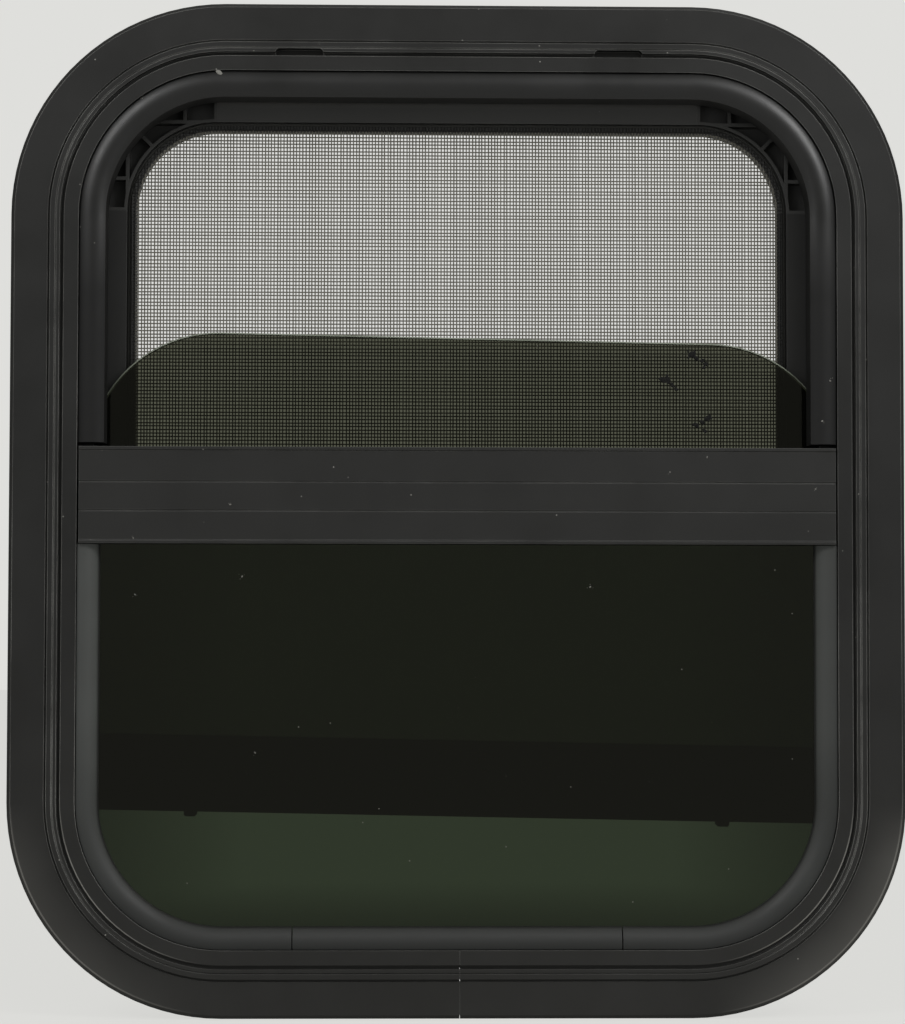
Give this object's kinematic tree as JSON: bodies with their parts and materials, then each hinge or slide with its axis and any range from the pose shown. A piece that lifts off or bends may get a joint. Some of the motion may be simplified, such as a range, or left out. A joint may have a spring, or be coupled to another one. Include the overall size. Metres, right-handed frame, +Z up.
{
  "type": "caravan window",
  "caption": "Round-cornered caravan window with a black flange, tinted fixed lower pane, vertically sliding sash, meeting rail and insect screen.",
  "frame": {"origin": "middle of the bottom run of the outer land on the flange's back face, in the plane of the wall skin", "axes": "+X to the right seen from outside, +Y into the caravan along the neck, +Z up"},
  "size_m": [0.394, 0.0395, 0.446],
  "materials": {
    "frame_black": "satin",
    "rail_black": "satin",
    "sash_black": "satin",
    "screen_black": "satin",
    "mill_aluminium": "satin",
    "gasket_rubber": "satin",
    "seal_rubber": "satin",
    "run_rubber": "matte",
    "block_rubber": "matte",
    "glazing_tape": "matte",
    "fixed_tint": "gloss",
    "sash_tint": "gloss",
    "key_plastic": "satin",
    "mesh_fibre": "matte",
    "pile": "matte"
  },
  "bodies": {
    "frame": {"outer_frame": "frame_black", "frame_splice": "mill_aluminium", "meeting_rail": "rail_black", "meeting_rail_pile": "pile", "fixed_glass": "fixed_tint", "fixed_glass_bed": "glazing_tape", "setting_block_left": "block_rubber", "setting_block_right": "block_rubber", "fixed_glass_gasket_left": "gasket_rubber", "fixed_glass_gasket_right": "gasket_rubber", "fixed_glass_gasket_bottom": "gasket_rubber", "upper_seal": "seal_rubber", "glass_run": "run_rubber", "screen_top_rail": "screen_black", "screen_bottom_rail": "screen_black", "screen_left_rail": "screen_black", "screen_right_rail": "screen_black", "screen_corner_top_left": "key_plastic", "screen_corner_top_right": "key_plastic", "screen_corner_bottom_left": "key_plastic", "screen_corner_bottom_right": "key_plastic", "screen_mesh": "mesh_fibre", "screen_spline": "run_rubber"},
    "sash": {"sash_glass": "sash_tint", "sash_rail": "sash_black", "sash_rail_gasket": "run_rubber", "sash_bumper_left": "block_rubber", "sash_bumper_right": "block_rubber"}
  },
  "joints": [
    {"name": "sash_slide", "type": "slide", "parent": "frame", "child": "sash", "axis": [0, 0, 1], "range_m": [0, 0.115]}
  ]
}
